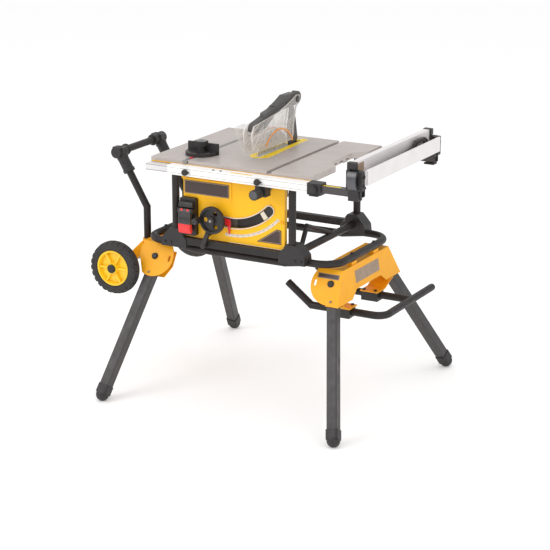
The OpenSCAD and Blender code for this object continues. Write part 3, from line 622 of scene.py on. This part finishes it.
for side, rear in SIDES:
    lines = [block((-239.5, RAIL_FACE - 0.35, z), (341.5, RAIL_FACE + 0.1, z + 0.9))
             for z in (873, 892)]
    piece(f"{side}_rail_lines", at_side(together(*lines), rear), "carriage_grey", "base")
    caps = []
    for x in RAIL_PINS:
        caps.append(turned((x, RAIL_FACE - 3, 881), 1,
                           [(12, 0), (12, -6), (10.6, -10), (8.4, -12)], 28))
        caps.append(prism([(x + 10, 885.5), (x + 21, 881), (x + 10, 876.5)], 1,
                          RAIL_FACE - 6, RAIL_FACE - 3))
    piece(f"{side}_rail_caps", at_side(together(*caps), rear), "black_plastic", "base",
          bevel=0.8)
    detail = together(
        turned((369, -338.8, 882), 1, [(10.5, 0), (10.5, -1.5), (8, -2.6), (3, -2.6)], 24),
        *[block((350, RAIL_FACE - 3.4, z), (388, RAIL_FACE - 2.6, z + 3)) for z in (866, 895)])
    piece(f"{side}_end_cap_detail", at_side(detail, rear), "black_plastic", "base",
          bevel=0.4)

piece("inner_rail_lines", together(*[
    block((-334.8, -324.3, z), (-150, -323.9, z + 1.2)) for z in (872.0, 891.6)]),
    "tick_black", "rails")
piece("rail_screws", together(*[
    screw_head((x, -317, 898.8), 2, 4.6, 2.2, 1) for x in (-49, -18)]),
    "black_plastic", "base")

# rip scale on the sliding rail, and the window in the fixed rail that it is read through
window = [rounded_plate(68, -318, 87.2 - k, 9.6 - k, 2.2) for k in (0, 3.2)]
piece("rip_window_frame", band(*window, 2, 897.2, 899.4), "throat_yellow", "base",
      bevel=0.3)
piece("rip_window", block((25, -322.4, 896.2), (111, -313.6, 897.4)), "clear_shield", "base")
piece("rip_scale", block((379, -316, 894.9), (466, -303, 895.15)), "throat_yellow", "rails")
marks = []
for i in range(21):
    x, length = 382 + 4 * i, 9 if i % 5 == 0 else 5
    marks.append(block((x, -315.4, 895.1), (x + 0.6, -315.4 + length, 895.3)))
piece("rip_scale_ticks", together(*marks), "tick_black", "rails")

# yellow edge of the saw's body between the table and the rail, and fingers cast in the notch
piece("body_rim", block((-333, -285.2, 895.6), (333, -283.6, 899.4)), "panel_yellow", "base",
      bevel=0.4)
piece("notch_slits", together(*[
    block((291.2, y, 896), (292.2, y + 26, 900)) for y in (-30, 20, 70)]),
    "tick_black", "base")

# ---- stand ----

bolts = []
for x in (-288, -262, 262, 288):
    for facing in (-1, 1):
        bolts.append(bolt((x, 274.0 * facing, 590), 1, 5.4, 5.5, facing))
piece("gusset_bolts", together(*bolts), "black_plastic", "base", bevel=0.3)
loop_bolts = [bolt((x, y, 591.5), 2, 5.6, 5.0, 1) for x in (-400, 402) for y in (-90, 90)]
piece("loop_bolts", together(*loop_bolts), "black_plastic", "base", bevel=0.3)


def sloped(shell, pivot, rear):
    """Puts a shell drawn in a leg's sloping frame (X right, Z up the slope, -Y out) in place."""
    c, k = math.cos(LEG_TILT), math.sin(LEG_TILT)
    verts = [(pivot[0] + x, y * c + z * k - pivot[1], pivot[2] - y * k + z * c)
             for x, y, z in shell[0]]
    return at_side((verts, shell[1]), rear)


cap = turned((0, 0, 0), 1, [
    (13, -1.8), (13, -3.4), (10.8, -4.4), (10.8, -9.4), (8.6, -10.4), (3, -10.4)], 28)
piece("pivot_caps", together(*[
    sloped(cap, pivot, rear) for pivot in (LEFT_PIVOT, RIGHT_PIVOT) for rear in (False, True)]),
    "black_plastic", "base")
plate_outline = [(-59, 17.5), (27, 17.5), (27, 36.5), (-59, 36.5)]
plate = prism(plate_outline, 1, -2.5, -1.8)
edge = band(plate_outline, [(-56.6, 20), (24.6, 20), (24.6, 34), (-56.6, 34)], 1, -2.9, -2.4)
piece("bracket_badges", together(*[sloped(plate, RIGHT_PIVOT, rear) for rear in (False, True)]),
      "badge_dark", "base")
piece("bracket_badge_edges",
      together(*[sloped(edge, RIGHT_PIVOT, rear) for rear in (False, True)]),
      "badge_pale", "base")

# badge on the right bracket's end, which leans out at the top
lean = math.radians(8.6)
c, k = math.cos(lean), math.sin(lean)
flat = block((3.8, -101, -68), (4.5, 95, -22))
piece("side_plate_badge",
      ([(412 + x * c - z * k, y, 551.6 + x * k + z * c) for x, y, z in flat[0]], flat[1]),
      "badge_pale", "base")

# moulded elbows: collars at their ends and screws on their faces
for side, sign in (("front", -1), ("rear", 1)):
    across = Vector((0, sign, 0))
    top = Vector((GRIP_X, ELBOW_Y * sign, GRIP_Z))
    low = Vector((-529, 138.1 * sign, 800.5))
    down = (low - top).normalized()
    collars = together(
        swept([low - down * 13, low + down * 1.2], 23.4, 24),
        swept([top + down * 20, top + down * 31], 22.4, 24),
        swept([top - across * 37, top - across * 46], 22.4, 24),
        swept([top + across * 20, top + across * 29.6], 22.4, 24),
        block((GRIP_X - 24, top.y - 17, GRIP_Z - 8), (GRIP_X + 24, top.y + 17, GRIP_Z + 19)))
    piece(f"{side}_elbow_collars", collars, "black_plastic", "base", bevel=2.2)
    screws = together(
        turned((GRIP_X, 166 * sign, GRIP_Z), 1,
               [(8, 0), (8, 1.2 * sign), (5, 2.0 * sign), (4, 0.8 * sign)], 20),
        turned((-551, 160.3 * sign, 837), 1,
               [(6, -3 * sign), (6, 0.4 * sign), (3, 1.2 * sign)], 16))
    piece(f"{side}_elbow_screws", screws, "black_plastic", "base")

# wheels: axle caps, raised rings on the hubs, and beads and lugs on the tyres


def wheel_ring(radius, half, sign, low, high):
    """A ring on a wheel's outer face, between two distances from the wheel's middle."""
    outlines = [circle(AXLE_X, AXLE_Z, r, 6) for r in (radius + half, radius - half)]
    return band(*outlines, 1, sign * (WHEEL_Y + low), sign * (WHEEL_Y + high))


LUGS = 24
for side, sign in (("front", -1), ("rear", 1)):
    cap = turned((AXLE_X, sign * 318.4, AXLE_Z), 1,
                 [(16.5, -5.2 * sign), (16.5, 1.0 * sign), (13, 3.6 * sign), (6, 4.4 * sign)], 32)
    piece(f"{side}_axle_cap", cap, "black_plastic", "base")
    rings = [wheel_ring(63.2, 1.6, sign, 20.4, 22.2), wheel_ring(55.5, 1.6, sign, 5.4, 7.2)]
    piece(f"{side}_hub_rings", together(*rings), "hub_yellow", f"{side}_wheel",
          bevel=0.5)
    beads = [wheel_ring(86, 1.2, sign, 23.0, 24.9), wheel_ring(73.5, 1.2, sign, 22.6, 24.5)]
    for i in range(LUGS):
        a = math.radians(360 / LUGS * i + 5)
        spoke, across = Vector((math.cos(a), math.sin(a))), Vector((-math.sin(a), math.cos(a)))
        outer, inner, half = 98.2, 86.0 if i % 2 else 90.0, 8.2
        corners = [spoke * inner - across * half * 0.8, spoke * inner + across * half * 0.8,
                   spoke * outer + across * half, spoke * outer - across * half]
        beads.append(prism([(AXLE_X + q.x, AXLE_Z + q.y) for q in corners], 1,
                           sign * (WHEEL_Y + 12), sign * (WHEEL_Y + 22.4)))
    piece(f"{side}_tyre_beads", together(*beads), "tyre_rubber", f"{side}_wheel",
          bevel=0.4)

# ---- fence ----

for side, rear in SIDES:
    detail = together(
        bolt((FENCE_X + 60, -318, 944), 0, 6.0, 4.5, 1),
        bolt((FENCE_X + 60, -318, 912), 0, 4.5, 4.0, 1),
        block((FENCE_X - 0.8, -329.5, 900), (FENCE_X, -307, 962)),
        *[block((x, -332.2, 868), (x + 2.5, -331.8, 892))
          for x in range(FENCE_X + 8, FENCE_X + 44, 7)])
    piece(f"{side}_fence_head_detail", at_side(detail, rear), "black_plastic", "rails",
          bevel=0.4)
piece("fence_grooves", together(*[
    block((FENCE_X - 0.25, -304, z), (FENCE_X + 0.1, 304, z + 1.0)) for z in (921, 934, 968, 983)]),
    "carriage_grey", "rails")
piece("fence_label", prism([(-300, 952), (-246, 952), (-246, 984), (-300, 984)], 0,
                           FENCE_X + 23.8, FENCE_X + 24.4), "badge_pale", "rails")

# ---- mitre gauge ----

marks = []
for angle in range(-60, 61, 10):
    inner, outer, half = (47, 56, 0.5) if angle % 30 == 0 else (51, 56, 0.35)
    a = math.radians(angle)
    d, n = Vector((math.sin(a), -math.cos(a))), Vector((math.cos(a), math.sin(a)))
    corners = [d * inner - n * half, d * outer - n * half, d * outer + n * half,
               d * inner + n * half]
    marks.append(prism([(STUD_X + q.x, STUD_Y + q.y) for q in corners], 2, 925.3, 925.7))
piece("mitre_ticks", together(*marks), "scale_silver", "mitre_head")
pointer = [(STUD_X - 5, -247), (STUD_X + 5, -247), (STUD_X + 5, -236), (STUD_X, -229.5),
           (STUD_X - 5, -236)]
piece("mitre_pointer", prism(pointer, 2, 912.8, 915.6), "stop_red", "mitre_bar",
      bevel=0.4)
piece("mitre_knob_top",
      turned((STUD_X, STUD_Y, 963.8), 2, [(21, 0), (19.5, 1.6), (11, 1.8), (10, 0.6)], 40),
      "grey_plastic", "mitre_knob")
piece("mitre_knob_grips", together(*[
    turned((x, y, 947.6), 2, [(2.0, 0), (2.0, 15.6)], 10)
    for x, y in circle(STUD_X, STUD_Y, 23.6, 20)]),
    "black_plastic", "mitre_knob")

# ---- guard ----

SHIELD = [(-150, 1036), (-168, 1010), (-160, 960), (-140, 936), (136, 932), (150, 950),
          (154, 990), (174, 1054), (200, 1068), (200, 1094), (176, 1098), (120, 1078),
          (40, 1058), (-60, 1046)]
SLOTS = (-70, 0, 70)  # middles of the shield's slots, along Y
RISE = 2.0  # how far a rib goes back for each millimetre that it climbs


def roof(y):
    """Height of the shield's upper edge."""
    if y < -60:
        return 1036 + (y + 150) * 0.11
    return 1046 + (y + 60) * 0.12


# ribs climb towards the pivot at a shallow slope, and stop at the upper edge or at a slot
ribs = []
starts = [(-163, 1012), (-158, 986), (-157, 962)] + [(y, 937) for y in range(-136, 126, 27)]
for foot_y, foot_z in starts:
    top_y, top_z = foot_y, foot_z
    while top_z < roof(top_y) - 4 and top_y < 134 + max(0, top_z - 990) * 0.3:
        if top_z > 1002 and any(abs(top_y - y) < 8 for y in SLOTS):
            break
        top_y, top_z = top_y + RISE, top_z + 1
    if top_z - foot_z > 8:
        ribs.append([(foot_y - 2.4, foot_z), (foot_y + 1.2, foot_z), (top_y + 2.4, top_z),
                     (top_y - 1.2, top_z)])
rim = inset(SHIELD, 3.2)
# coloured stripe that follows the blade
arc = []
for radius in (128.5, 122.5):
    arc.append([(36 + radius * math.sin(math.radians(a)), 866 + radius * math.cos(math.radians(a)))
                for a in range(-52, 61, 4)])



def from_blade(sign, first, last):
    """Two distances from the blade's plane, as X places in ascending order."""
    return sorted((BLADE_X + first * sign, BLADE_X + last * sign))


for side, sign in (("right", 1), ("left", -1)):
    body = f"{side}_guard"
    low, high = from_blade(sign, 17.6, 19.8)
    piece(f"{side}_shield_ribs", together(*[prism(r, 0, low, high) for r in ribs]),
          "shield_rib", body, bevel=0.5)
    piece(f"{side}_shield_rim", band(SHIELD, rim, 0, *from_blade(sign, 14.4, 20.2)),
          "shield_rib", body, bevel=0.6)
    piece(f"{side}_shield_arc", prism(arc[0] + arc[1][::-1], 0, *from_blade(sign, 17.4, 20.4)),
          "guide_orange", body, bevel=0.5)
    piece(f"{side}_shield_hub",
          turned((BLADE_X + 17.6 * sign, GUARD_Y, GUARD_Z), 0,
                 [(12, 0), (12, 3 * sign), (8, 4.6 * sign), (3, 4.6 * sign)], 28),
          "guard_plastic", body)
    nose = []
    for k in (0.22, 0.5, 0.78):
        x = BLADE_X + sign * (15 + (56 - 15) * k + 1.5)
        z = 938 + (1030 - 938) * k
        nose.append(swept([(x, -164, z), (x, -94, z)], 1.5, 8))
    piece(f"{side}_nose_ribs", together(*nose), "shield_rib", body)

# cover on the riving knife, round tail of the arm, and ribs on the arm
cover = [(166, 1056), (182, 1056), (200, 1000), (214, 930), (214, 917), (176, 917), (172, 960),
         (160, 1010)]
piece("knife_cover", prism(cover, 0, 6.5, 10.6), "guard_plastic", "lift",
      bevel=1.0)
tail = [(18, -13.4), (22.6, -12.6), (24, -10), (24, 10), (22.6, 12.6), (18, 13.4)]
piece("arm_tail", turned((BLADE_X, 200, 1083.5), 0, tail, 40), "guard_plastic", "lift")
arm_ribs = []
for x in (BLADE_X + 13, BLADE_X - 13):
    for radius, line in (
        (2.2, [(-122, 1030), (-60, 1040), (-8, 1056), (60, 1076), (160, 1094)]),
        (1.8, [(-98, 1012), (-46, 1024), (8, 1052), (70, 1064), (150, 1068)]),
    ):
        arm_ribs.append(swept([(x, y, z) for y, z in line], radius, 8))
for y, z in ((-40, 1062), (20, 1080), (80, 1098)):
    arm_ribs.append(swept([(BLADE_X - 12.5, y, z), (BLADE_X + 12.5, y, z)], 2.4, 8))
piece("arm_ribs", together(*arm_ribs), "guard_plastic", "lift")

# ---- motor ----

fin = [(43.5, 0), (45.2, 0.5), (45.2, 3.5), (43.5, 4)]
piece("motor_fins", together(*[
    turned((x, MOTOR_Y, MOTOR_Z), 0, fin, 40) for x in range(-180, -44, 11)]),
    "motor_grey", "lift")
piece("motor_vents", together(*[
    turned((-199.4, y, z), 0, [(5, 0), (5, 1.6)], 6)
    for y, z in circle(MOTOR_Y, MOTOR_Z, 24, 40)]),
    "tick_black", "lift")

# ---- floor, light and camera ----

REACH = 30  # half the floor's width, in metres
floor_mesh = bpy.data.meshes.new("floor")
floor_mesh.from_pydata(
    [(-REACH, -REACH, 0), (REACH, -REACH, 0), (REACH, REACH, 0), (-REACH, REACH, 0)], [],
    [(0, 1, 2, 3)])
floor = bpy.data.objects.new("floor", floor_mesh)
bpy.context.scene.collection.objects.link(floor)
floor_mesh.materials.append(
    finish("floor_pale", linear(246, 246, 246), 0.62, mottle=0.004, grain=300, depth=0.00002,
           edge=0.1, glow=0.22))

world = bpy.data.worlds.new("studio")
world.use_nodes = True
world.node_tree.nodes["Background"].inputs["Color"].default_value = (1.0, 1.0, 1.0, 1.0)
world.node_tree.nodes["Background"].inputs["Strength"].default_value = 0.82
bpy.context.scene.world = world


def lamp(name, place, aim, size, power):
    """A rectangular area light of some watts, in metres."""
    data = bpy.data.lights.new(name, "AREA")
    data.shape = "RECTANGLE"
    data.size, data.size_y = size
    data.energy = power
    obj = bpy.data.objects.new(name, data)
    bpy.context.scene.collection.objects.link(obj)
    obj.location = place
    obj.rotation_mode = "QUATERNION"
    obj.rotation_quaternion = (Vector(aim) - Vector(place)).to_track_quat("-Z", "Y")


lamp("key", (-2.2, -3.4, 3.4), (0, 0, 0.6), (2.4, 2.4), 62)
lamp("fill", (3.6, -2.6, 2.0), (0, 0, 0.6), (2.6, 2.6), 20)
lamp("top", (0.3, 0.8, 3.8), (0, 0, 0.8), (2.6, 2.6), 18)

AZIMUTH, ELEVATION = math.radians(29.0), math.radians(16.8)
back = Vector((
    math.sin(AZIMUTH) * math.cos(ELEVATION), -math.cos(AZIMUTH) * math.cos(ELEVATION),
    math.sin(ELEVATION)))
camera_data = bpy.data.cameras.new("camera")
camera_data.lens = 121.3
camera_data.sensor_width = 36
camera_data.clip_start, camera_data.clip_end = 0.1, 100
camera = bpy.data.objects.new("camera", camera_data)
bpy.context.scene.collection.objects.link(camera)
camera.location = at(3308.6, -5913.8, 2473)
camera.rotation_mode = "QUATERNION"
camera.rotation_quaternion = (-back).to_track_quat("-Z", "Y")
bpy.context.scene.camera = camera
bpy.context.scene.view_settings.view_transform = "Standard"
